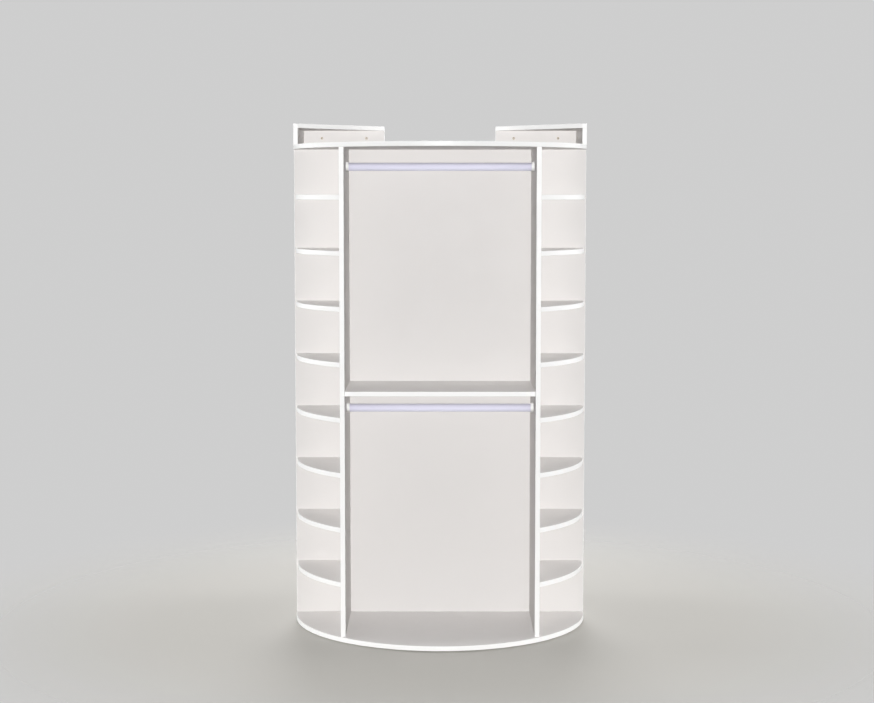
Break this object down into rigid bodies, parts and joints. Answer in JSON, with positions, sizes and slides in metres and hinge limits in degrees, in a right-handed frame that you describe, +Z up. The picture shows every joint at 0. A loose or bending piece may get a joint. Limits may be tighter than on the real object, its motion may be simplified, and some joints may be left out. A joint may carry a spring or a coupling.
{
  "type": "revolving wardrobe cabinet",
  "caption": "Round two-sided wardrobe carousel with hanging bays, curved side shelves and hanging rods, turning on a floor ball ring and a top pivot held by two fixed triangular corner boxes.",
  "frame": {"origin": "on the floor under the carousel's axis of rotation, at the centre of the floor race", "axes": "+Z up along the axis of rotation; -Y to the open front; +X to the right as seen from the front"},
  "size_m": [1.264, 1.23, 2.1005],
  "materials": {
    "melamine_board": "satin",
    "rod_tube": "satin",
    "bearing_steel": "zinc plated",
    "screw_steel": "zinc plated",
    "white_plastic": "matt",
    "dowel_wood": "bare"
  },
  "bodies": {
    "fixed_frame": {"floor_race": "bearing_steel", "pivot_carrier": "bearing_steel", "pivot_bush": "white_plastic", "carrier_screws": "screw_steel", "box_screws": "screw_steel", "bottom_screws": "screw_steel", "box_back_left": "melamine_board", "box_back_right": "melamine_board", "box_bottom_left": "melamine_board", "box_bottom_right": "melamine_board", "box_lid_left": "melamine_board", "box_lid_right": "melamine_board", "box_side_left": "melamine_board", "box_side_right": "melamine_board"},
    "carousel": {"access_plug": "white_plastic", "base_board": "melamine_board", "divider_dowels": "dowel_wood", "divider_panel": "melamine_board", "lower_rod_front": "rod_tube", "lower_rod_rear": "rod_tube", "mid_shelf_front": "melamine_board", "mid_shelf_rear": "melamine_board", "panel_screws": "screw_steel", "pivot_screws": "screw_steel", "race_screws": "screw_steel", "rear_shelves_left": "melamine_board", "rear_shelves_right": "melamine_board", "rod_sockets": "white_plastic", "side_shelf_left_1": "melamine_board", "side_shelf_left_2": "melamine_board", "side_shelf_left_3": "melamine_board", "side_shelf_left_4": "melamine_board", "side_shelf_left_5": "melamine_board", "side_shelf_left_6": "melamine_board", "side_shelf_left_7": "melamine_board", "side_shelf_left_8": "melamine_board", "side_shelf_right_1": "melamine_board", "side_shelf_right_2": "melamine_board", "side_shelf_right_3": "melamine_board", "side_shelf_right_4": "melamine_board", "side_shelf_right_5": "melamine_board", "side_shelf_right_6": "melamine_board", "side_shelf_right_7": "melamine_board", "side_shelf_right_8": "melamine_board", "socket_screws": "screw_steel", "top_board": "melamine_board", "top_pivot": "bearing_steel", "upper_race": "bearing_steel", "upper_rod_front": "rod_tube", "upper_rod_rear": "rod_tube", "upright_dowels": "dowel_wood", "upright_front_left": "melamine_board", "upright_front_right": "melamine_board", "upright_rear_left": "melamine_board", "upright_rear_right": "melamine_board"},
    "ball_ring": {"ball_cage": "white_plastic", "bearing_balls": "bearing_steel"}
  },
  "joints": [
    {"name": "carousel_turn", "type": "hinge", "parent": "fixed_frame", "child": "carousel", "pos_m": [0, 0, 0], "axis": [0, 0, 1], "continuous": true},
    {"name": "ball_ring_turn", "type": "hinge", "parent": "fixed_frame", "child": "ball_ring", "pos_m": [0, 0, 0], "axis": [0, 0, 1], "continuous": true}
  ],
  "couplings": [
    {"joint": "ball_ring_turn", "follows": "carousel_turn", "ratio": 0.5}
  ]
}
